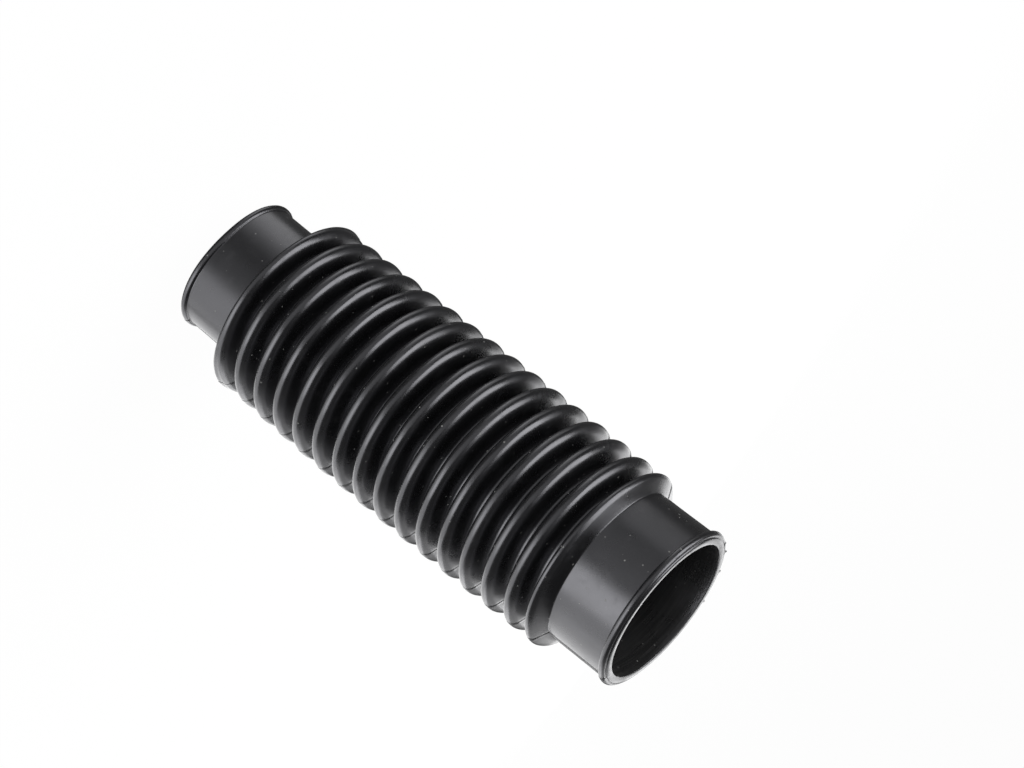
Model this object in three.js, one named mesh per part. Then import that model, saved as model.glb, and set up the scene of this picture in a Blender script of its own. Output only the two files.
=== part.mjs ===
// Fork gaiter: a moulded rubber bellows that keeps dirt off the sliding joint of a fork leg.
// It is one piece, a round folded wall with a plain cuff at each end. The axis is +Z, the small
// cuff's end face lies on z = 0, and the large cuff opens upwards. Sizes are in millimetres.
import * as THREE from 'three';

// The tubes that the two cuffs grip, as diameters
const SMALL_BORE = 42;
const LARGE_BORE = 53.4;

// Cuffs, each measured from its end face to the corner of the first fold
const SMALL_CUFF_LENGTH = 27.4;
const LARGE_CUFF_LENGTH = 25.3;
const SMALL_CUFF_WALL = 2.6;
const LARGE_CUFF_WALL = 3;

// Rim bead round the end of each cuff, and the fine groove that parts it from the end face
const SMALL_BEAD_HEIGHT = 1;
const LARGE_BEAD_HEIGHT = 1.3;
const SMALL_BEAD_ROUND = 1.1;
const LARGE_BEAD_ROUND = 1.4;
const BEAD_SETBACK = 0.3;
const GROOVE_WIDTH = 0.4;
const GROOVE_DEPTH = 0.6;

// Folds: the rounds are the outside radii of the section at a crest and in a valley. The depth
// is that of the two end folds, and the bulge is how much farther the middle ones stand out.
// The last fold has a tighter crest, and slopes down to the large cuff as a plain cone.
const FOLDS = 16;
const PITCH = 10;
const FOLD_DEPTH = 7.4;
const BULGE = 1;
const FOLD_WALL = 1.8;
const CREST_ROUND = 2.6;
const LAST_CREST_ROUND = 1.6;
const INNER_ROUND_MIN = 0.3;
const VALLEY_ROUND = 1.2;
const VALLEY_CLEARANCE = 0.3;
const FIRST_FLANK_TILT = THREE.MathUtils.degToRad(6);
const LAST_FLANK_TILT = THREE.MathUtils.degToRad(24);
const CORNER_ROUND = 0.8;

// Fineness of the facets
const SIDES = 28;
const CREST_STEPS = 4;
const INNER_CREST_STEPS = 1;
const VALLEY_STEPS = 2;
const BEAD_STEPS = 4;
const CORNER_STEPS = 2;

const RUBBER_COLOUR = 0x1b1b1d;
const RUBBER_ROUGHNESS = 0.45;

// The cuffs' outer radii follow from what they grip. The valleys just clear what passes through
// the large bore.
const smallCuffRadius = SMALL_BORE / 2 + SMALL_CUFF_WALL;
const largeCuffRadius = LARGE_BORE / 2 + LARGE_CUFF_WALL;
const valleyRadius = LARGE_BORE / 2 + VALLEY_CLEARANCE + FOLD_WALL;
const valleyCentre = valleyRadius + VALLEY_ROUND;
const endCrestRadius = valleyRadius + FOLD_DEPTH;
const lastFold = FOLDS - 1;

function crestRound(fold) {
  return fold === lastFold ? LAST_CREST_ROUND : CREST_ROUND;
}

// Radius of the circle on which a fold's crest is centred: the crests follow a parabola
function crestCentre(fold) {
  const fromMiddle = (2 * fold) / lastFold - 1;
  return endCrestRadius + BULGE * (1 - fromMiddle ** 2) - crestRound(fold);
}

// Distance along the axis from a fold's crest back to the valley before it. A tighter crest is
// set back, so that the backs of all the folds keep to the pitch.
function backRun(fold) {
  return PITCH / 2 - CREST_ROUND + crestRound(fold);
}

// Tilt of a straight flank off the plane across the axis: it touches the round of the crest and,
// at some distance along the axis, the round of a valley.
function flankTilt(fold, run) {
  const rise = crestCentre(fold) - valleyCentre;
  return Math.acos((crestRound(fold) + VALLEY_ROUND) / Math.hypot(run, rise))
    - Math.atan2(rise, run);
}

// The two flanks of a fold, as tilts: the one before its crest and the one after it
function tilts(fold) {
  return {
    before: fold === 0 ? FIRST_FLANK_TILT : flankTilt(fold, backRun(fold)),
    after: fold === lastFold ? LAST_FLANK_TILT : flankTilt(fold, PITCH / 2),
  };
}

// Distance along the axis from an end crest to where its end flank reaches a radius. The inset
// is 0 for the outer surface and the wall's thickness for the inner one.
function endFlankReach(fold, tilt, radius, inset) {
  const across = (crestCentre(fold) - radius) * Math.sin(tilt);
  return (crestRound(fold) - inset + across) / Math.cos(tilt);
}

const firstCrest = SMALL_CUFF_LENGTH + endFlankReach(0, FIRST_FLANK_TILT, smallCuffRadius, 0);

function crestAlong(fold) {
  return firstCrest + (fold - 0.5) * PITCH + backRun(fold);
}

// Where the first and last flanks meet surfaces of given radii, as places along the axis
function smallCornerAlong(radius, inset) {
  return firstCrest - endFlankReach(0, FIRST_FLANK_TILT, radius, inset);
}

function largeCornerAlong(radius, inset) {
  return crestAlong(lastFold) + endFlankReach(lastFold, LAST_FLANK_TILT, radius, inset);
}

const length = largeCornerAlong(largeCuffRadius, 0) + LARGE_CUFF_LENGTH;

// Section points hold the radius in x and the place along the axis in y.
function point(radius, along) {
  return new THREE.Vector2(radius, along);
}

// Arc whose angles are 0 along the axis and a quarter turn pointing outwards
function arc(centre, radius, from, to, steps) {
  const points = [];
  for (let step = 0; step <= steps; step += 1) {
    const angle = from + ((to - from) * step) / steps;
    points.push(point(centre.x + radius * Math.sin(angle), centre.y + radius * Math.cos(angle)));
  }
  return points;
}

// Rounded corner between two straight runs of the section
function roundedCorner(before, corner, after, radius) {
  const back = before.clone().sub(corner).normalize();
  const onward = after.clone().sub(corner).normalize();
  const halfAngle = Math.acos(back.dot(onward)) / 2;
  const middle = back.clone().add(onward).normalize();
  const centre = corner.clone().addScaledVector(middle, radius / Math.sin(halfAngle));
  const start = corner.clone().addScaledVector(back, radius / Math.tan(halfAngle)).sub(centre);
  const end = corner.clone().addScaledVector(onward, radius / Math.tan(halfAngle)).sub(centre);
  const from = Math.atan2(start.x, start.y);
  const turn = Math.atan2(end.x * start.y - end.y * start.x, start.dot(end));
  return arc(centre, radius, from, from + turn, CORNER_STEPS);
}

// A cuff's end from the bore to the plain cuff, with y measured from the end face
function cuffEnd(bore, cuffRadius, beadHeight, beadRound) {
  const beadCentre = point(cuffRadius + beadHeight - beadRound, BEAD_SETBACK + beadRound);
  const dip = Math.asin((beadRound - beadHeight) / beadRound);
  return [
    point(bore / 2, 0),
    point(cuffRadius - GROOVE_WIDTH, 0),
    point(cuffRadius - GROOVE_WIDTH / 2, GROOVE_DEPTH),
    ...arc(beadCentre, beadRound, Math.PI - dip, dip, BEAD_STEPS),
  ];
}

// One surface of the folded wall from the first crest to the last. The inner surface lies the
// wall's thickness inside the outer one, so its crests are tighter and its valleys wider.
function foldedWall(inset, crestSteps) {
  const points = [];
  for (let fold = 0; fold < FOLDS; fold += 1) {
    const { before, after } = tilts(fold);
    const crest = point(crestCentre(fold), crestAlong(fold));
    const round = Math.max(crestRound(fold) - inset, INNER_ROUND_MIN);
    points.push(...arc(crest, round, Math.PI - before, after, crestSteps));
    if (fold < lastFold) {
      const valley = point(valleyCentre, firstCrest + (fold + 0.5) * PITCH);
      const end = 2 * Math.PI - tilts(fold + 1).before;
      points.push(...arc(valley, VALLEY_ROUND + inset, Math.PI + after, end, VALLEY_STEPS));
    }
  }
  return points;
}

// The corners between a fold and a cuff, from the small cuff to the large one
function cornersAt(smallRadius, largeRadius, inset, folds) {
  const small = point(smallRadius, smallCornerAlong(smallRadius, inset));
  const large = point(largeRadius, largeCornerAlong(largeRadius, inset));
  return [
    ...roundedCorner(point(smallRadius, 0), small, folds[0], CORNER_ROUND),
    ...folds,
    ...roundedCorner(folds[folds.length - 1], large, point(largeRadius, length), CORNER_ROUND),
  ];
}

// The whole section: up the outside, across the large end face and down the inside
function gaiterSection() {
  const smallEnd = cuffEnd(SMALL_BORE, smallCuffRadius, SMALL_BEAD_HEIGHT, SMALL_BEAD_ROUND);
  const largeEnd = cuffEnd(LARGE_BORE, largeCuffRadius, LARGE_BEAD_HEIGHT, LARGE_BEAD_ROUND);
  const outside = cornersAt(smallCuffRadius, largeCuffRadius, 0, foldedWall(0, CREST_STEPS));
  const inner = foldedWall(FOLD_WALL, INNER_CREST_STEPS);
  const inside = cornersAt(SMALL_BORE / 2, LARGE_BORE / 2, FOLD_WALL, inner);
  return [
    ...smallEnd,
    ...outside,
    ...largeEnd.map((corner) => point(corner.x, length - corner.y)).reverse(),
    ...inside.reverse(),
    smallEnd[0].clone(),
  ];
}

const rubber = new THREE.MeshStandardMaterial({
  color: RUBBER_COLOUR,
  roughness: RUBBER_ROUGHNESS,
  metalness: 0,
});

// The lathe turns about Y, so the solid is tipped up onto Z.
const geometry = new THREE.LatheGeometry(gaiterSection(), SIDES);
geometry.rotateX(Math.PI / 2);
const gaiter = new THREE.Mesh(geometry, rubber);
gaiter.name = 'gaiter';

const group = new THREE.Group();
group.add(gaiter);

export default group;
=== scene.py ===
"""Fork gaiter: a moulded rubber bellows, with its studio stage.

It stands on its small cuff's end face at the origin, with its axis along +Z, as in CAD.
"""

import math

import bmesh
import bpy
from mathutils import Matrix, Vector, noise


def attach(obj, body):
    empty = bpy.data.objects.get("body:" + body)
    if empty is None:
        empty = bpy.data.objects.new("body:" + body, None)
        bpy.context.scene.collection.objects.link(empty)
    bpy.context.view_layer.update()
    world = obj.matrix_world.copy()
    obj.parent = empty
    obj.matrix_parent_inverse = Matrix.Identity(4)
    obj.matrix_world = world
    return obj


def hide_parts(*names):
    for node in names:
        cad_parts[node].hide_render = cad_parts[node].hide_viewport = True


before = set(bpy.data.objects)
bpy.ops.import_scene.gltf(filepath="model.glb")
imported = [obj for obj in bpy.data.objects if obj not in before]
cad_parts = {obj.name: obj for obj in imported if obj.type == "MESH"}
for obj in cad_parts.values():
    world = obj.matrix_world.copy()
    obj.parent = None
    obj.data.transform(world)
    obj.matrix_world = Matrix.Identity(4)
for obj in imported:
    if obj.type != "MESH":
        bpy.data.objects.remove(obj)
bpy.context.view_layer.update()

bl_info = {
    "name": "Fork Gaiter",
    "version": (1, 0, 0),
    "blender": (4, 5, 0),
    "location": "View3D > Sidebar > Gaiter",
    "description": "Models a moulded rubber fork gaiter and the stage it is shown on",
    "category": "Add Mesh",
}

MM = 0.001


# Sizes and looks that a user would change

class GaiterSizes(bpy.types.PropertyGroup):
    """Sizes of the bellows, all measured on the outside of the rubber unless they say otherwise"""

    small_bore: bpy.props.FloatProperty(
        name="Small Bore", description="Diameter of the tube that the small cuff grips",
        default=42 * MM, subtype="DISTANCE", unit="LENGTH")
    large_bore: bpy.props.FloatProperty(
        name="Large Bore", description="Diameter of the slider that the large cuff grips",
        default=53.4 * MM, subtype="DISTANCE", unit="LENGTH")
    small_cuff_length: bpy.props.FloatProperty(
        name="Small Cuff Length", description="From the end face to the corner of the first fold",
        default=27.4 * MM, subtype="DISTANCE", unit="LENGTH")
    large_cuff_length: bpy.props.FloatProperty(
        name="Large Cuff Length", description="From the end face to the corner of the last fold",
        default=25.3 * MM, subtype="DISTANCE", unit="LENGTH")
    small_cuff_wall: bpy.props.FloatProperty(
        name="Small Cuff Wall", description="Thickness of the small cuff",
        default=2.6 * MM, subtype="DISTANCE", unit="LENGTH")
    large_cuff_wall: bpy.props.FloatProperty(
        name="Large Cuff Wall", description="Thickness of the large cuff",
        default=3 * MM, subtype="DISTANCE", unit="LENGTH")
    small_bead_height: bpy.props.FloatProperty(
        name="Small Bead Height", description="How far the small rim's bead stands off its cuff",
        default=1.1 * MM, subtype="DISTANCE", unit="LENGTH")
    large_bead_height: bpy.props.FloatProperty(
        name="Large Bead Height", description="How far the large rim's bead stands off its cuff",
        default=1.3 * MM, subtype="DISTANCE", unit="LENGTH")
    small_bead_round: bpy.props.FloatProperty(
        name="Small Bead Round", description="Radius of the small rim's bead, in the section",
        default=1.4 * MM, subtype="DISTANCE", unit="LENGTH")
    large_bead_round: bpy.props.FloatProperty(
        name="Large Bead Round", description="Radius of the large rim's bead, in the section",
        default=1.4 * MM, subtype="DISTANCE", unit="LENGTH")
    folds: bpy.props.IntProperty(
        name="Folds", description="Number of folds in the bellows", default=16, min=3)
    pitch: bpy.props.FloatProperty(
        name="Pitch", description="Distance from one fold to the next",
        default=10 * MM, subtype="DISTANCE", unit="LENGTH")
    fold_depth: bpy.props.FloatProperty(
        name="Fold Depth", description="From a valley to the crest of an end fold",
        default=7.4 * MM, subtype="DISTANCE", unit="LENGTH")
    bulge: bpy.props.FloatProperty(
        name="Bulge", description="How much farther the middle folds stand out than the end ones",
        default=1 * MM, subtype="DISTANCE", unit="LENGTH")
    fold_wall: bpy.props.FloatProperty(
        name="Fold Wall", description="Thickness of the folded wall",
        default=1.8 * MM, subtype="DISTANCE", unit="LENGTH")
    crest_round: bpy.props.FloatProperty(
        name="Crest Round", description="Outside radius of a crest, seen in the section",
        default=2.6 * MM, subtype="DISTANCE", unit="LENGTH")
    last_crest_round: bpy.props.FloatProperty(
        name="Last Crest Round", description="Outside radius of the last fold's tighter crest",
        default=1.6 * MM, subtype="DISTANCE", unit="LENGTH")
    valley_round: bpy.props.FloatProperty(
        name="Valley Round", description="Outside radius of a valley, seen in the section",
        default=1.2 * MM, subtype="DISTANCE", unit="LENGTH")
    bow: bpy.props.FloatProperty(
        name="Bow", description="How far the middle of the axis has bent out of line",
        default=0.96 * MM, subtype="DISTANCE", unit="LENGTH")
    seam_height: bpy.props.FloatProperty(
        name="Seam Height", description="How far the mould seam stands off the surface",
        default=0.08 * MM, subtype="DISTANCE", unit="LENGTH")


class RubberLook(bpy.types.PropertyGroup):
    """Finish of the moulded rubber"""

    colour: bpy.props.StringProperty(
        name="Colour", description="Colour of the rubber as an sRGB hex value", default="0d0d0e")
    bloom_colour: bpy.props.StringProperty(
        name="Bloom Colour", description="Colour of faint smudges as an sRGB hex value",
        default="141415")
    bore_colour: bpy.props.StringProperty(
        name="Bore Colour", description="Colour of the marks in the bore as an sRGB hex value",
        default="323232")
    dust_colour: bpy.props.StringProperty(
        name="Dust Colour", description="Colour of dust specks as an sRGB hex value",
        default="6e6e6c")
    roughness: bpy.props.FloatProperty(
        name="Roughness", description="How much the satin surface spreads a reflection",
        default=0.28, min=0, max=1, subtype="FACTOR")


class StageLook(bpy.types.PropertyGroup):
    """Floor and light of the stage"""

    floor_colour: bpy.props.StringProperty(
        name="Floor Colour", description="Colour of the floor as an sRGB hex value",
        default="f2f2f2")
    floor_white: bpy.props.FloatProperty(
        name="Floor White", description="Share of the floor that the camera sees as plain white",
        default=0.975, min=0, max=1, subtype="FACTOR")
    surround: bpy.props.FloatProperty(
        name="Surround", description="Brightness of the white surround",
        default=0.12, min=0)


# Materials

def linear(hex_colour):
    """An sRGB hex value as linear red, green, blue and alpha."""
    channels = [int(hex_colour[place:place + 2], 16) / 255 for place in (0, 2, 4)]
    return [c / 12.92 if c <= 0.04045 else ((c + 0.055) / 1.055) ** 2.4 for c in channels] + [1]


def add_node(tree, kind, settings=None, inputs=None):
    """Adds a node, sets its properties, and sets or links its inputs."""
    node = tree.nodes.new(kind)
    for name, value in (settings or {}).items():
        setattr(node, name, value)
    for name, value in (inputs or {}).items():
        if isinstance(value, bpy.types.NodeSocket):
            tree.links.new(value, node.inputs[name])
        else:
            node.inputs[name].default_value = value
    return node


def new_material(name):
    """A material with an empty node tree."""
    material = bpy.data.materials.new(name)
    material.use_nodes = True
    material.node_tree.nodes.clear()
    return material


def per_metre(size):
    """Scale of a texture whose features are to be of a size, in metres."""
    return 1 / size


# Sizes of the rubber's patterns. Real grain is about a tenth of this, too fine for the picture,
# so it is drawn coarser.
GRAIN = 0.5 * MM
TURNING_MARKS = 0.35 * MM
CLOUDING = 14 * MM
SMUDGES = 6 * MM
DUST_SPACING = 2.8 * MM
DUST_SIZE = 0.16 * MM

# Depths of the two reliefs, and the share of the marks' depth that is left outside the bore
GRAIN_DEPTH = 0.006 * MM
MARK_DEPTH = 0.03 * MM
WORN_SHARE = 0.12

# How far the marks are drawn out round the gaiter, and the paleness of the bore between them
MARK_STRETCH = 50
BORE_PALENESS = 0.3

# The parts of each noise's range that are used
CLOUD_RANGE = {"From Min": 0.3, "From Max": 0.7}
SMUDGE_RANGE = {"From Min": 0.58, "From Max": 0.75}
MARK_RANGE = {"From Min": 0.4, "From Max": 0.72}

# What clouding, smudges and dust do to the roughness
CLOUD_GLOSS = (-0.05, 0.06)
SMUDGE_GLOSS = 0.08
DUST_ROUGHNESS = 0.9

RUBBER_IOR = 1.7
GLOSS_TINT = "f8f8ff"


def dust_mask(tree, place):
    """1 on small specks of uneven size scattered over the surface, and 0 elsewhere."""
    cells = add_node(tree, "ShaderNodeTexVoronoi", inputs={
        "Vector": place, "Scale": per_metre(DUST_SPACING)})
    spread = add_node(tree, "ShaderNodeSeparateColor", inputs={0: cells.outputs["Color"]})
    size = add_node(tree, "ShaderNodeMath", {"operation": "MULTIPLY"}, inputs={
        0: spread.outputs[0], 1: 2 * DUST_SIZE / DUST_SPACING})
    speck = add_node(tree, "ShaderNodeMath", {"operation": "LESS_THAN"}, inputs={
        0: cells.outputs["Distance"], 1: size.outputs[0]})
    return speck.outputs[0]


def bore_mask(tree, place, radius, height):
    """1 inside a radius round the axis and above a height, and 0 elsewhere."""
    flat = add_node(tree, "ShaderNodeVectorMath", {"operation": "MULTIPLY"}, inputs={
        0: place, 1: (1, 1, 0)})
    away = add_node(tree, "ShaderNodeVectorMath", {"operation": "LENGTH"}, inputs={
        0: flat.outputs[0]})
    inside = add_node(tree, "ShaderNodeMath", {"operation": "LESS_THAN"}, inputs={
        0: away.outputs["Value"], 1: radius})
    axes = add_node(tree, "ShaderNodeSeparateXYZ", inputs={0: place})
    above = add_node(tree, "ShaderNodeMath", {"operation": "GREATER_THAN"}, inputs={
        0: axes.outputs["Z"], 1: height})
    both = add_node(tree, "ShaderNodeMath", {"operation": "MULTIPLY"}, inputs={
        0: inside.outputs[0], 1: above.outputs[0]})
    return both.outputs[0]


def rubber_gloss(tree, look, cloud, smudged, dust):
    """Roughness that wavers with the clouding and rises on smudges and dust."""
    low, high = CLOUD_GLOSS
    clouded = add_node(tree, "ShaderNodeMapRange", inputs={
        "Value": cloud.outputs[0], **CLOUD_RANGE,
        "To Min": look.roughness + low, "To Max": look.roughness + high})
    rubbed = add_node(tree, "ShaderNodeMath", {"operation": "MULTIPLY_ADD"}, inputs={
        0: smudged, 1: SMUDGE_GLOSS, 2: clouded.outputs[0]})
    roughness = add_node(tree, "ShaderNodeMix", {"data_type": "FLOAT"}, inputs={
        0: dust, 2: rubbed.outputs[0], 3: DUST_ROUGHNESS})
    return roughness.outputs[0]


def rubber_colour(tree, look, smudged, marked, dust):
    """Black that smudges, the marks in the bore and dust make paler."""
    bloomed = add_node(tree, "ShaderNodeMix", {"data_type": "RGBA"}, inputs={
        0: smudged, 6: linear(look.colour), 7: linear(look.bloom_colour)})
    lined = add_node(tree, "ShaderNodeMix", {"data_type": "RGBA"}, inputs={
        0: marked, 6: bloomed.outputs[2], 7: linear(look.bore_colour)})
    dusty = add_node(tree, "ShaderNodeMix", {"data_type": "RGBA"}, inputs={
        0: dust, 6: lined.outputs[2], 7: linear(look.dust_colour)})
    return dusty.outputs[2]


def rubber_relief(tree, place, marks, in_bore):
    """Surface normal with a fine grain, and with turning marks that are deepest in the bore."""
    grain = add_node(tree, "ShaderNodeTexNoise", inputs={
        "Vector": place, "Scale": per_metre(GRAIN), "Detail": 2})
    mark_share = add_node(tree, "ShaderNodeMapRange", inputs={
        "Value": in_bore, "To Min": WORN_SHARE, "To Max": 1})
    grained = add_node(tree, "ShaderNodeBump", inputs={
        "Strength": 1, "Distance": GRAIN_DEPTH, "Height": grain.outputs[0]})
    marked = add_node(tree, "ShaderNodeBump", inputs={
        "Strength": mark_share.outputs[0], "Distance": MARK_DEPTH, "Height": marks.outputs[0],
        "Normal": grained.outputs[0]})
    return marked.outputs[0]


def moulded_rubber(look, marks_radius, marks_height):
    """Carbon-black rubber, pressed in a turned steel mould: a satin gloss that clouds a little.

    The mould's fine turning marks run round the gaiter and show in the large bore, inside a
    radius and above a height. The charged surface holds a few specks of dust.
    """
    material = new_material("moulded_rubber")
    tree = material.node_tree
    place = add_node(tree, "ShaderNodeTexCoord").outputs["Object"]
    cloud = add_node(tree, "ShaderNodeTexNoise", inputs={
        "Vector": place, "Scale": per_metre(CLOUDING), "Detail": 4, "Roughness": 0.6})
    smudge = add_node(tree, "ShaderNodeTexNoise", inputs={
        "Vector": place, "Scale": per_metre(SMUDGES), "Detail": 5, "Distortion": 0.8})
    smudged = add_node(tree, "ShaderNodeMapRange", inputs={
        "Value": smudge.outputs[0], **SMUDGE_RANGE}).outputs[0]
    dust = dust_mask(tree, place)
    drawn_out = add_node(tree, "ShaderNodeVectorMath", {"operation": "MULTIPLY"}, inputs={
        0: place, 1: (1 / MARK_STRETCH, 1 / MARK_STRETCH, 1)})
    marks = add_node(tree, "ShaderNodeTexNoise", inputs={
        "Vector": drawn_out.outputs[0], "Scale": per_metre(TURNING_MARKS), "Detail": 3})
    in_bore = bore_mask(tree, place, marks_radius, marks_height)
    bore_marks = add_node(tree, "ShaderNodeMapRange", inputs={
        "Value": marks.outputs[0], **MARK_RANGE, "To Min": BORE_PALENESS, "To Max": 1})
    marked = add_node(tree, "ShaderNodeMath", {"operation": "MULTIPLY"}, inputs={
        0: in_bore, 1: bore_marks.outputs[0]}).outputs[0]
    shader = add_node(tree, "ShaderNodeBsdfPrincipled", inputs={
        "Base Color": rubber_colour(tree, look, smudged, marked, dust),
        "Roughness": rubber_gloss(tree, look, cloud, smudged, dust),
        "Normal": rubber_relief(tree, place, marks, in_bore),
        "IOR": RUBBER_IOR,
        "Specular Tint": linear(GLOSS_TINT),
    })
    add_node(tree, "ShaderNodeOutputMaterial", inputs={"Surface": shader.outputs["BSDF"]})
    return material


def white_paper(look):
    """Matt white paper, lit so that the camera sees it white, with a faint shadow left on it."""
    material = new_material("matt_white_paper")
    tree = material.node_tree
    paper = add_node(tree, "ShaderNodeBsdfDiffuse", inputs={"Color": linear(look.floor_colour)})
    white = add_node(tree, "ShaderNodeEmission", inputs={"Color": (1, 1, 1, 1), "Strength": 1})
    path = add_node(tree, "ShaderNodeLightPath")
    share = add_node(tree, "ShaderNodeMath", {"operation": "MULTIPLY"}, inputs={
        0: path.outputs["Is Camera Ray"], 1: look.floor_white})
    mix = add_node(tree, "ShaderNodeMixShader", inputs={
        0: share.outputs[0], 1: paper.outputs[0], 2: white.outputs[0]})
    add_node(tree, "ShaderNodeOutputMaterial", inputs={"Surface": mix.outputs[0]})
    return material


# The gaiter's section

# Into how many steps each arc or straight run is cut
TOP_STEPS = 5
SHOULDER_STEPS = 3
FLANK_STEPS = 2
CONE_STEPS = 3
INNER_CREST_STEPS = 3
VALLEY_STEPS = 6
INNER_VALLEY_STEPS = 3
CORNER_STEPS = 4
BEAD_STEPS = 9
EDGE_STEPS = 3
FACE_STEPS = 2
CUFF_STEPS = 7

FIRST_FLANK_TILT = math.radians(6)
LAST_FLANK_TILT = math.radians(24)

# The shoulder that eases a crest into its flank: its round as a multiple of the crest's, and
# how far it turns
SHOULDER = 1.9
SHOULDER_TURN = math.radians(32)

# Fine sizes, in the section
CORNER_ROUND = 0.6 * MM
BEAD_SETBACK = 0.3 * MM
SMALL_BEAD_FOOT = 0.3 * MM
LARGE_BEAD_FOOT = 0.2 * MM
GROOVE_WIDTH = 0.4 * MM
GROOVE_DEPTH = 0.6 * MM
FACE_EDGE = 0.12 * MM
BORE_EDGE = 0.3 * MM
VALLEY_CLEARANCE = 0.3 * MM
INNER_ROUND_MIN = 0.3 * MM


class SectionPen:
    """Draws an outline in the X-Z plane, a straight run or an arc at a time."""

    def __init__(self, bm, radius, height, is_outside):
        self.bm = bm
        self.tip = bmesh.ops.create_vert(bm, co=(radius, 0, height))["vert"][0]
        self.tip[bm.verts.layers.int["outside"]] = is_outside

    def line(self, radius, height, steps=1):
        """Goes straight to a radius and height, in some steps."""
        stride = (Vector((radius, 0, height)) - self.tip.co) / steps
        for _ in range(steps):
            grown = bmesh.ops.extrude_vert_indiv(self.bm, verts=[self.tip])
            self.tip = grown["verts"][0]
            bmesh.ops.translate(self.bm, vec=stride, verts=[self.tip])

    def arc(self, centre, round_radius, start, end, steps, approach=1):
        """Goes to an arc in some steps, unless it is already there, and then round it.

        Angles are 0 along the axis and a quarter turn outwards.
        """
        radius, height = centre
        if approach:
            self.line(radius + round_radius * math.sin(start),
                      height + round_radius * math.cos(start), approach)
        grown = bmesh.ops.spin(self.bm, geom=[self.tip], cent=(radius, 0, height),
                               axis=(0, 1, 0), angle=end - start, steps=steps)
        self.tip = next(g for g in grown["geom_last"] if isinstance(g, bmesh.types.BMVert))


class Shape:
    """The measures that follow from the sizes."""

    def __init__(self, sizes):
        self.sizes = sizes
        self.small_cuff = sizes.small_bore / 2 + sizes.small_cuff_wall
        self.large_cuff = sizes.large_bore / 2 + sizes.large_cuff_wall
        valley_bottom = sizes.large_bore / 2 + VALLEY_CLEARANCE + sizes.fold_wall
        self.valley_centre = valley_bottom + sizes.valley_round
        self.end_crest_radius = valley_bottom + sizes.fold_depth
        self.last_fold = sizes.folds - 1
        first_reach = self.reach(0, FIRST_FLANK_TILT, self.small_cuff, 0)
        self.first_crest = sizes.small_cuff_length + first_reach
        self.last_crest = self.crest_height(self.last_fold)
        self.length = self.large_corner(self.large_cuff, 0) + sizes.large_cuff_length

    def crest_round(self, fold):
        """Outside radius of a crest, seen in the section."""
        return self.sizes.last_crest_round if fold == self.last_fold else self.sizes.crest_round

    def crest_centre(self, fold):
        """Radius of the circle on which a fold's crest is centred."""
        from_middle = 2 * fold / self.last_fold - 1
        bulge = self.sizes.bulge * (1 - from_middle ** 2)
        return self.end_crest_radius + bulge - self.crest_round(fold)

    def back_run(self, fold):
        """Distance along the axis from a fold's crest back to the valley before it."""
        return self.sizes.pitch / 2 - self.sizes.crest_round + self.crest_round(fold)

    def crest_height(self, fold):
        """Height of a fold's crest. A tighter one is set back, so the backs keep to the pitch."""
        return self.first_crest + (fold - 0.5) * self.sizes.pitch + self.back_run(fold)

    def tilt(self, fold, run):
        """Tilt of a flank that touches the rounds of a crest and of a valley."""
        rise = self.crest_centre(fold) - self.valley_centre
        rounds = self.crest_round(fold) + self.sizes.valley_round
        return math.acos(rounds / math.hypot(run, rise)) - math.atan2(rise, run)

    def tilt_before(self, fold):
        """Tilt of the flank before a fold's crest."""
        return FIRST_FLANK_TILT if fold == 0 else self.tilt(fold, self.back_run(fold))

    def tilt_after(self, fold):
        """Tilt of the flank after a fold's crest."""
        return (LAST_FLANK_TILT if fold == self.last_fold
                else self.tilt(fold, self.sizes.pitch / 2))

    def reach(self, fold, tilt, radius, inset):
        """Distance along the axis from an end crest to where its end flank is at a radius."""
        across = (self.crest_centre(fold) - radius) * math.sin(tilt)
        return (self.crest_round(fold) - inset + across) / math.cos(tilt)

    def small_corner(self, radius, inset):
        """Height at which the first flank meets the small cuff."""
        return self.first_crest - self.reach(0, FIRST_FLANK_TILT, radius, inset)

    def large_corner(self, radius, inset):
        """Height at which the last flank meets the large cuff."""
        reach = self.reach(self.last_fold, LAST_FLANK_TILT, radius, inset)
        return self.crest_height(self.last_fold) + reach


def draw_half_crest(pen, shape, fold, is_after):
    """Draws half of a crest: the round top, and a wider round that eases it into the flank."""
    tilt = shape.tilt_after(fold) if is_after else shape.tilt_before(fold)
    height, crest_round = shape.crest_height(fold), shape.crest_round(fold)
    wide_round = SHOULDER * crest_round
    # Both rounds keep inside the plain round, and touch it at the crest and where it ends.
    drop = (wide_round - crest_round) * (1 - math.cos(SHOULDER_TURN))
    top_out = drop / (math.cos(SHOULDER_TURN) - math.sin(tilt))
    top_round = crest_round - top_out
    top = (shape.crest_centre(fold) + top_out, height)
    turn = tilt + SHOULDER_TURN
    side = 1 if is_after else -1
    wide = (top[0] - (wide_round - top_round) * math.sin(turn),
            height - side * (wide_round - top_round) * math.cos(turn))
    if is_after:
        pen.arc(top, top_round, math.pi / 2, turn, TOP_STEPS, approach=0)
        pen.arc(wide, wide_round, turn, tilt, SHOULDER_STEPS, approach=0)
    else:
        pen.arc(wide, wide_round, math.pi - tilt, math.pi - turn, SHOULDER_STEPS,
                approach=FLANK_STEPS)
        pen.arc(top, top_round, math.pi - turn, math.pi / 2, TOP_STEPS, approach=0)


def draw_valley(pen, shape, fold, inset, steps, approach=1):
    """Draws the valley after a fold. The inset is 0 outside and the wall's thickness inside."""
    centre = (shape.valley_centre, shape.first_crest + (fold + 0.5) * shape.sizes.pitch)
    pen.arc(centre, shape.sizes.valley_round + inset, math.pi + shape.tilt_after(fold),
            math.tau - shape.tilt_before(fold + 1), steps, approach)


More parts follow.
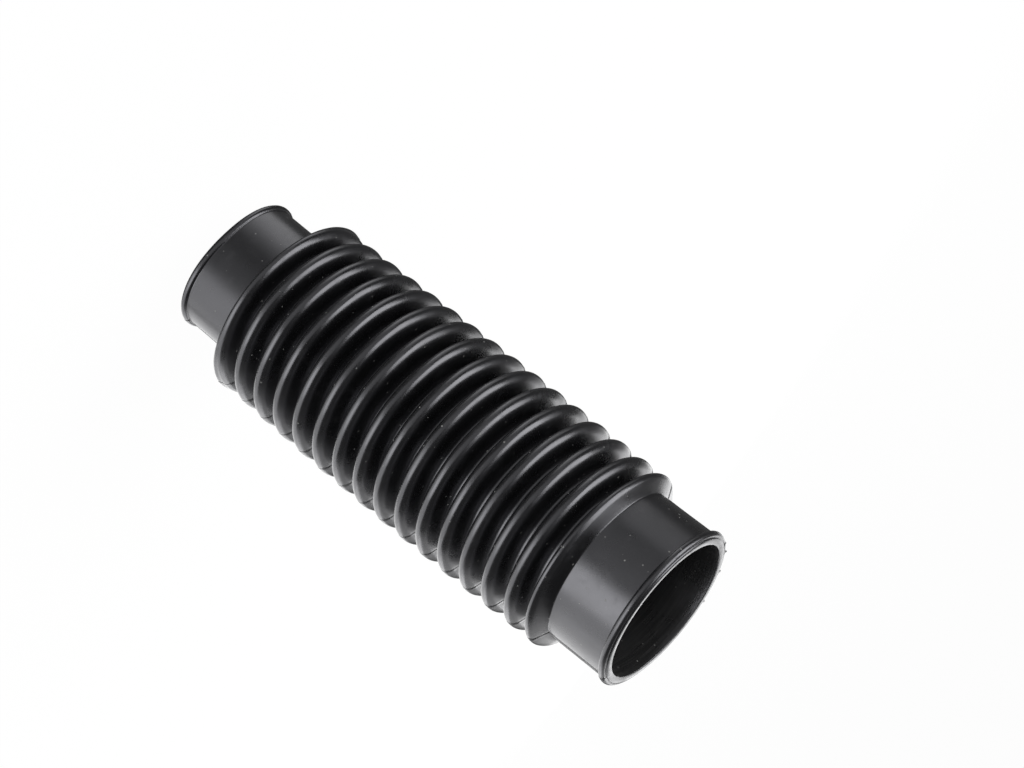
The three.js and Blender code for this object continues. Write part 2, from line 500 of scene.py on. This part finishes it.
def draw_folds(pen, shape):
    """Draws the outside of the folded wall, from its first crest to its last."""
    for fold in range(shape.sizes.folds):
        draw_half_crest(pen, shape, fold, False)
        draw_half_crest(pen, shape, fold, True)
        if fold < shape.last_fold:
            draw_valley(pen, shape, fold, 0, VALLEY_STEPS, FLANK_STEPS)


def draw_inner_folds(pen, shape):
    """Draws the inside of the folded wall, from its first crest to its last."""
    wall = shape.sizes.fold_wall
    for fold in range(shape.sizes.folds):
        crest = (shape.crest_centre(fold), shape.crest_height(fold))
        pen.arc(crest, max(shape.crest_round(fold) - wall, INNER_ROUND_MIN),
                math.pi - shape.tilt_before(fold), shape.tilt_after(fold), INNER_CREST_STEPS)
        if fold < shape.last_fold:
            draw_valley(pen, shape, fold, wall, INNER_VALLEY_STEPS)


def draw_small_corner(pen, shape, radius, inset):
    """Rounds the corner between the small cuff and the first flank."""
    back = CORNER_ROUND * math.tan(math.pi / 4 - FIRST_FLANK_TILT / 2)
    centre = (radius + CORNER_ROUND, shape.small_corner(radius, inset) - back)
    pen.arc(centre, CORNER_ROUND, -math.pi / 2, -FIRST_FLANK_TILT, CORNER_STEPS, CUFF_STEPS)


def draw_large_corner(pen, shape, radius, inset):
    """Rounds the corner between the last flank and the large cuff."""
    back = CORNER_ROUND * math.tan(math.pi / 4 - LAST_FLANK_TILT / 2)
    centre = (radius + CORNER_ROUND, shape.large_corner(radius, inset) + back)
    pen.arc(centre, CORNER_ROUND, math.pi + LAST_FLANK_TILT, 1.5 * math.pi, CORNER_STEPS,
            CONE_STEPS)


def draw_bead(pen, cuff, height, bead_height, bead_round):
    """Goes round a rim bead, whose foot is sharp on the cuff side."""
    dip = math.asin((bead_round - bead_height) / bead_round)
    centre = (cuff + bead_height - bead_round, height)
    pen.arc(centre, bead_round, math.pi - dip, dip, BEAD_STEPS)


def draw_outside(bm, shape):
    """Draws the outside, with the end faces, from the edge of one bore to that of the other."""
    sizes = shape.sizes
    small_bore, large_bore = sizes.small_bore / 2, sizes.large_bore / 2
    small_cuff, large_cuff, length = shape.small_cuff, shape.large_cuff, shape.length
    pen = SectionPen(bm, small_bore, BORE_EDGE, True)
    pen.arc((small_bore + BORE_EDGE, BORE_EDGE), BORE_EDGE, -math.pi / 2, -math.pi, EDGE_STEPS)
    pen.line(small_cuff - GROOVE_WIDTH - FACE_EDGE, 0)
    pen.line(small_cuff - GROOVE_WIDTH, FACE_EDGE)
    pen.line(small_cuff - GROOVE_WIDTH / 2, GROOVE_DEPTH)
    draw_bead(pen, small_cuff, BEAD_SETBACK + sizes.small_bead_round,
              sizes.small_bead_height, sizes.small_bead_round)
    pen.line(small_cuff, pen.tip.co.z + SMALL_BEAD_FOOT)
    draw_small_corner(pen, shape, small_cuff, 0)
    draw_folds(pen, shape)
    draw_large_corner(pen, shape, large_cuff, 0)
    bead_height = length - BEAD_SETBACK - sizes.large_bead_round
    pen.line(large_cuff, bead_height - sizes.large_bead_round - LARGE_BEAD_FOOT, CUFF_STEPS)
    draw_bead(pen, large_cuff, bead_height, sizes.large_bead_height, sizes.large_bead_round)
    pen.line(large_cuff - GROOVE_WIDTH / 2, length - GROOVE_DEPTH)
    pen.line(large_cuff - GROOVE_WIDTH, length - FACE_EDGE)
    pen.line(large_cuff - GROOVE_WIDTH - FACE_EDGE, length)
    pen.arc((large_bore + BORE_EDGE, length - BORE_EDGE), BORE_EDGE, 0, -math.pi / 2, EDGE_STEPS,
            FACE_STEPS)


def draw_inside(bm, shape):
    """Draws the inside, from the edge of the small bore to that of the large one."""
    sizes = shape.sizes
    pen = SectionPen(bm, sizes.small_bore / 2, BORE_EDGE, False)
    draw_small_corner(pen, shape, sizes.small_bore / 2, sizes.fold_wall)
    draw_inner_folds(pen, shape)
    draw_large_corner(pen, shape, sizes.large_bore / 2, sizes.fold_wall)
    pen.line(sizes.large_bore / 2, shape.length - BORE_EDGE, CUFF_STEPS)


# The turned body

MERGE_DISTANCE = 0.001 * MM
TURN_STEPS = 140

# The mould parts along two seams. Each is a fine groove with a ridge beside it, in a narrow
# strip of its own.
SEAM_ANGLES = (math.radians(167), math.radians(347))
STRIP_HALF_ANGLE = math.radians(0.5)
STRIP_STEPS = 4

# As shares of a strip's half angle: how far a seam reaches, and where its ridge starts
SEAM_REACH = 0.9
RIDGE_START = 0.1


def turn_section(bm):
    """Turns the section round the axis, in fine steps where a mould seam runs."""
    bmesh.ops.remove_doubles(bm, verts=bm.verts, dist=MERGE_DISTANCE)
    start = SEAM_ANGLES[0] - STRIP_HALF_ANGLE
    bmesh.ops.rotate(bm, verts=bm.verts, cent=(0, 0, 0), matrix=Matrix.Rotation(start, 3, "Z"))
    front = bm.verts[:] + bm.edges[:]
    strip = 2 * STRIP_HALF_ANGLE
    for angle, steps in ((strip, STRIP_STEPS), (math.pi - strip, TURN_STEPS // 2)) * 2:
        grown = bmesh.ops.spin(bm, geom=front, cent=(0, 0, 0), axis=(0, 0, 1), angle=angle,
                               steps=steps)
        front = grown["geom_last"]
    bmesh.ops.remove_doubles(bm, verts=bm.verts, dist=MERGE_DISTANCE)
    bmesh.ops.recalc_face_normals(bm, faces=bm.faces)


def turn_from_seam(angle):
    """Angle to the nearer of the two seams."""
    turns = [(angle - seam + math.pi) % math.tau - math.pi for seam in SEAM_ANGLES]
    return min(turns, key=abs)


def raise_seams(bm, shape):
    """Cuts a fine groove along each mould seam and raises a low ridge beside it."""
    outside = bm.verts.layers.int["outside"]
    bm.normal_update()
    for vert in bm.verts:
        turn = turn_from_seam(math.atan2(vert.co.y, vert.co.x)) / STRIP_HALF_ANGLE
        is_on_face = not FACE_EDGE / 2 < vert.co.z < shape.length - FACE_EDGE / 2
        if vert[outside] and abs(turn) < SEAM_REACH and not is_on_face:
            height = shape.sizes.seam_height * (1 if turn > RIDGE_START else -1)
            vert.co += vert.normal * height * (1 - abs(turn) / 2)


# Remnants of flash on the large rim: angle round the axis in degrees, and height
FLASH_NUBS = ((-24, 0.6 * MM), (-45, 0.6 * MM), (-72, 0.7 * MM), (166, 0.7 * MM),
              (-14, 0.3 * MM), (58, 0.2 * MM))
NUB_TAPER = (0.35, 0.35, 0.6)
NUB_LEAN = Vector((0, 0, 0.4))

# The band of the rim's bead that nubs stand on: half its height, and how far it faces up and out
NUB_BAND = 0.3 * MM
NUB_SLANT = 0.3


def add_flash(bm, shape):
    """Draws small nubs of flash out of the large rim."""
    rim = [face for face in bm.faces
           if abs(face.calc_center_median().z - shape.length + BEAD_SETBACK) < NUB_BAND
           and face.normal.z > NUB_SLANT and face.normal.xy.length > NUB_SLANT]
    for degrees, height in FLASH_NUBS:
        angle = math.radians(degrees)
        outwards = Vector((math.cos(angle), math.sin(angle), 0))
        face = max(rim, key=lambda face: face.calc_center_median().dot(outwards))
        rim.remove(face)
        top = bmesh.ops.extrude_discrete_faces(bm, faces=[face])["faces"][0]
        bmesh.ops.scale(bm, vec=NUB_TAPER, verts=top.verts,
                        space=Matrix.Translation(-top.calc_center_median()))
        bmesh.ops.translate(bm, vec=(outwards + NUB_LEAN) * height, verts=top.verts)


def smooth_step(value, low, high):
    """0 below low, 1 above high, and a smooth ramp between."""
    part = min(1, max(0, (value - low) / (high - low)))
    return part * part * (3 - 2 * part)


# How far each stretch has gone out of round, as the cosine and sine parts of a two-lobed wave
SMALL_CUFF_OVAL = (0.103, -0.059)
FOLDS_OVAL = (-0.019, -0.015)
LARGE_CUFF_OVAL = (0.013, 0.014)

# Over what stretches one oval passes into the next: before the first crest, and before and
# after the last one
SMALL_PASSAGE = 4.5 * MM
LARGE_PASSAGE = (2 * MM, 6 * MM)

# The wall isn't perfectly even: over what length it wavers, and how far. The seed makes it
# waver the same way each time.
WAVERS = ((17 * MM, 0.07 * MM), (7 * MM, 0.035 * MM))
WAVER_SEED = 11

# How near the end faces the waver along the axis dies down, as the faces stay flat
WAVER_FADE = 5 * MM


def relax(bm, shape):
    """Bends the axis a little and takes the rings out of round, as soft rubber settles."""
    noise.seed_set(WAVER_SEED)
    for vert in bm.verts:
        height = vert.co.z
        angle = math.atan2(vert.co.y, vert.co.x)
        to_folds = smooth_step(height, shape.first_crest - SMALL_PASSAGE, shape.first_crest)
        to_large = smooth_step(height, shape.last_crest - LARGE_PASSAGE[0],
                               shape.last_crest + LARGE_PASSAGE[1])
        oval = [a + (b - a) * to_folds + (c - b) * to_large
                for a, b, c in zip(SMALL_CUFF_OVAL, FOLDS_OVAL, LARGE_CUFF_OVAL)]
        scale = 1 + oval[0] * math.cos(2 * angle) + oval[1] * math.sin(2 * angle)
        along = 2 * height / shape.length - 1
        waver = sum((noise.noise_vector(vert.co / reach) * depth for reach, depth in WAVERS),
                    Vector())
        waver.z *= (smooth_step(height, 0, WAVER_FADE)
                    * smooth_step(shape.length - height, 0, WAVER_FADE))
        vert.co.x = vert.co.x * scale + (along ** 2 - 1) * shape.sizes.bow
        vert.co.y *= scale
        vert.co += waver


def new_piece(name, bm, material):
    """Makes the finished mesh a smooth-shaded object of one material."""
    mesh = bpy.data.meshes.new(name)
    bm.to_mesh(mesh)
    bm.free()
    mesh.shade_smooth()
    mesh.materials.append(material)
    piece = bpy.data.objects.new(name, mesh)
    bpy.context.scene.collection.objects.link(piece)
    return piece


class GAITER_OT_gaiter(bpy.types.Operator):
    """Model the gaiter"""

    bl_idname = "gaiter.gaiter"
    bl_label = "Gaiter"

    def execute(self, context):
        shape = Shape(context.scene.gaiter_sizes)
        bm = bmesh.new()
        bm.verts.layers.int.new("outside")
        draw_outside(bm, shape)
        draw_inside(bm, shape)
        turn_section(bm)
        raise_seams(bm, shape)
        add_flash(bm, shape)
        relax(bm, shape)
        # The bore's marks reach into the wall round it, so that they fill it where it is oval.
        marks_radius = (shape.sizes.large_bore + shape.sizes.large_cuff_wall) / 2
        marks_height = shape.length - shape.sizes.large_cuff_length
        rubber = moulded_rubber(context.scene.gaiter_rubber, marks_radius, marks_height)
        piece = new_piece("rubber_gaiter", bm, rubber)
        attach(piece, "root")
        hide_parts("gaiter")
        return {"FINISHED"}


# The stage

CAMERA_PLACE = Vector((27.707, 757.963, 435.275)) * MM
CAMERA_RIGHT = Vector((0.61654, -0.30606, 0.72540))
CAMERA_UP = Vector((0.78732, 0.23967, -0.56805))
CAMERA_LENS = 83.743
CAMERA_SENSOR = 36


def add_camera():
    """Places the camera at the photograph's viewing angle, rolled as the gaiter lies there."""
    data = bpy.data.cameras.new("camera")
    data.lens = CAMERA_LENS
    data.sensor_width = CAMERA_SENSOR
    camera = bpy.data.objects.new("camera", data)
    back = CAMERA_RIGHT.cross(CAMERA_UP)
    turn = Matrix((CAMERA_RIGHT, CAMERA_UP, back)).transposed()
    camera.matrix_world = Matrix.Translation(CAMERA_PLACE) @ turn.to_4x4()
    bpy.context.scene.collection.objects.link(camera)
    bpy.context.scene.camera = camera


FLOOR_RADIUS = 6
FLOOR_SIDES = 96


def add_floor(look):
    """Lays the floor that the small cuff stands on."""
    bm = bmesh.new()
    bmesh.ops.create_circle(bm, cap_ends=True, segments=FLOOR_SIDES, radius=FLOOR_RADIUS)
    mesh = bpy.data.meshes.new("floor")
    bm.to_mesh(mesh)
    bm.free()
    mesh.materials.append(white_paper(look))
    floor = bpy.data.objects.new("floor", mesh)
    # The gaiter is lit as if it lay on its side, so some softboxes are below the floor, which
    # neither blocks nor mirrors them.
    floor.visible_glossy = False
    floor.visible_shadow = False
    bpy.context.scene.collection.objects.link(floor)


# Each softbox: its direction from the gaiter, its distance, width and height in metres, and
# its brightness. Upright is as if the gaiter lay on its side.
SOFTBOXES = {
    "softbox_right": ((0.566, 0.036, 0.824), 1.2, 0.95, 1.05, 5.0),
    "softbox_left": ((-0.788, 0.516, -0.337), 1.2, 1.7, 1.7, 1.2),
    "left_fill": ((-0.748, 0.573, -0.334), 1.15, 1.9, 2.1, 0.65),
    "left_core": ((-0.626, 0.780, 0.014), 1.1, 1.1, 0.75, 2.4),
    "left_top": ((0.109, 0.892, -0.440), 1.2, 0.8, 0.4, 0.2),
    "overhead": ((0.378, 0.909, 0.176), 1.3, 1.9, 1.7, 0.55),
    "back_card": ((0.864, 0.173, -0.472), 1.3, 1.0, 1.2, 0.8),
    "back_strip": ((0.771, 0.082, -0.632), 0.35, 0.12, 0.26, 0.8),
    "table_left": ((-0.760, -0.566, -0.318), 0.6, 0.85, 0.6, 2.0),
    "table_right": ((0.049, -0.977, 0.208), 0.6, 0.42, 0.42, 2.4),
    "table_front": ((-0.586, -0.735, 0.341), 0.8, 1.0, 0.5, 0.9),
}
LIT_TARGET = Vector((0, 0, 105)) * MM
LIT_UPRIGHT = Vector((0.4615, 0.887, -0.014))


def add_softbox(name, direction, distance, width, height, brightness):
    """Adds an area light that faces the gaiter. A brightness of 1 is that of lit white paper."""
    data = bpy.data.lights.new(name, "AREA")
    data.shape = "RECTANGLE"
    data.size, data.size_y = width, height
    data.energy = brightness * math.pi * width * height
    light = bpy.data.objects.new(name, data)
    back = Vector(direction).normalized()
    right = LIT_UPRIGHT.cross(back).normalized()
    turn = Matrix((right, back.cross(right), back)).transposed()
    light.matrix_world = Matrix.Translation(LIT_TARGET + back * distance) @ turn.to_4x4()
    light.visible_camera = False
    bpy.context.scene.collection.objects.link(light)


def add_surround(look):
    """Lights the scene from a dim white surround, which the camera sees as plain white."""
    world = bpy.data.worlds.new("surround")
    world.use_nodes = True
    tree = world.node_tree
    tree.nodes.clear()
    path = add_node(tree, "ShaderNodeLightPath")
    seen = add_node(tree, "ShaderNodeBackground", inputs={"Color": (1, 1, 1, 1), "Strength": 1})
    light = add_node(tree, "ShaderNodeBackground", inputs={
        "Color": (1, 1, 1, 1), "Strength": look.surround})
    mix = add_node(tree, "ShaderNodeMixShader", inputs={
        0: path.outputs["Is Camera Ray"], 1: light.outputs[0], 2: seen.outputs[0]})
    add_node(tree, "ShaderNodeOutputWorld", inputs={"Surface": mix.outputs[0]})
    bpy.context.scene.world = world


class GAITER_OT_stage(bpy.types.Operator):
    """Set up the floor, the lights and the camera"""

    bl_idname = "gaiter.stage"
    bl_label = "Stage"

    def execute(self, context):
        look = context.scene.gaiter_stage
        context.scene.view_settings.view_transform = "Standard"
        add_camera()
        add_floor(look)
        add_surround(look)
        for name, numbers in SOFTBOXES.items():
            add_softbox(name, *numbers)
        return {"FINISHED"}


class GAITER_PT_sidebar(bpy.types.Panel):
    """Lists the sizes, the looks and the operators"""

    bl_idname = "GAITER_PT_sidebar"
    bl_label = "Fork Gaiter"
    bl_space_type = "VIEW_3D"
    bl_region_type = "UI"
    bl_category = "Gaiter"

    def draw(self, context):
        column = self.layout.column()
        for group in (context.scene.gaiter_sizes, context.scene.gaiter_rubber,
                      context.scene.gaiter_stage):
            for name in group.__annotations__:
                column.prop(group, name)
        for operator in OPERATORS:
            column.operator(operator.bl_idname)


GROUPS = {
    "gaiter_sizes": GaiterSizes,
    "gaiter_rubber": RubberLook,
    "gaiter_stage": StageLook,
}
OPERATORS = (GAITER_OT_stage, GAITER_OT_gaiter)


def register():
    for kind in (*GROUPS.values(), *OPERATORS, GAITER_PT_sidebar):
        bpy.utils.register_class(kind)
    for name, group in GROUPS.items():
        setattr(bpy.types.Scene, name, bpy.props.PointerProperty(type=group))


def unregister():
    for name in GROUPS:
        delattr(bpy.types.Scene, name)
    for kind in (GAITER_PT_sidebar, *reversed(OPERATORS), *reversed(GROUPS.values())):
        bpy.utils.unregister_class(kind)


def main():
    register()
    bpy.ops.gaiter.stage()
    bpy.ops.gaiter.gaiter()


if __name__ == "__main__":
    main()
